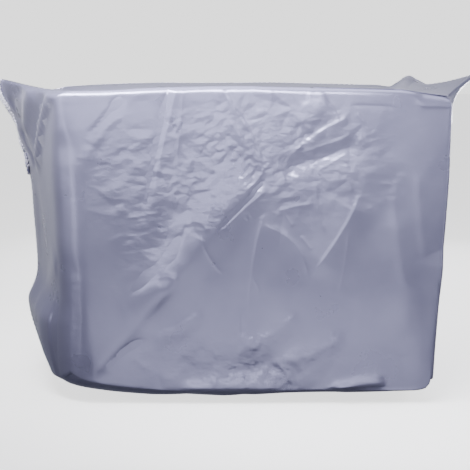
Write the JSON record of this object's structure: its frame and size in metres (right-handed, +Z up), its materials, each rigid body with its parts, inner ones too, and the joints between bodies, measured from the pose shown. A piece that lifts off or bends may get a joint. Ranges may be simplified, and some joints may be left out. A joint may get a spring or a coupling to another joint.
{
  "type": "air conditioner cover",
  "caption": "Fitted silver-grey cloth cover for an outdoor air conditioner unit: a creased five-sided bag, open at the back, with a light bound rim.",
  "frame": {"origin": "underside of the top at its middle, where the unit inside carries the cover", "axes": "+X to the right as seen from the front, +Y to the open back, +Z up"},
  "size_m": [1.2298, 0.4085, 0.7833],
  "materials": {
    "silver_cloth": "silver-coated taffeta with a satin sheen, crumpled",
    "rim_tape": "light woven tape, matt and puckered"
  },
  "bodies": {
    "root": {"wrap_panel": "silver_cloth", "top_panel": "silver_cloth", "bottom_panel": "silver_cloth", "edge_binding": "rim_tape"}
  },
  "joints": []
}
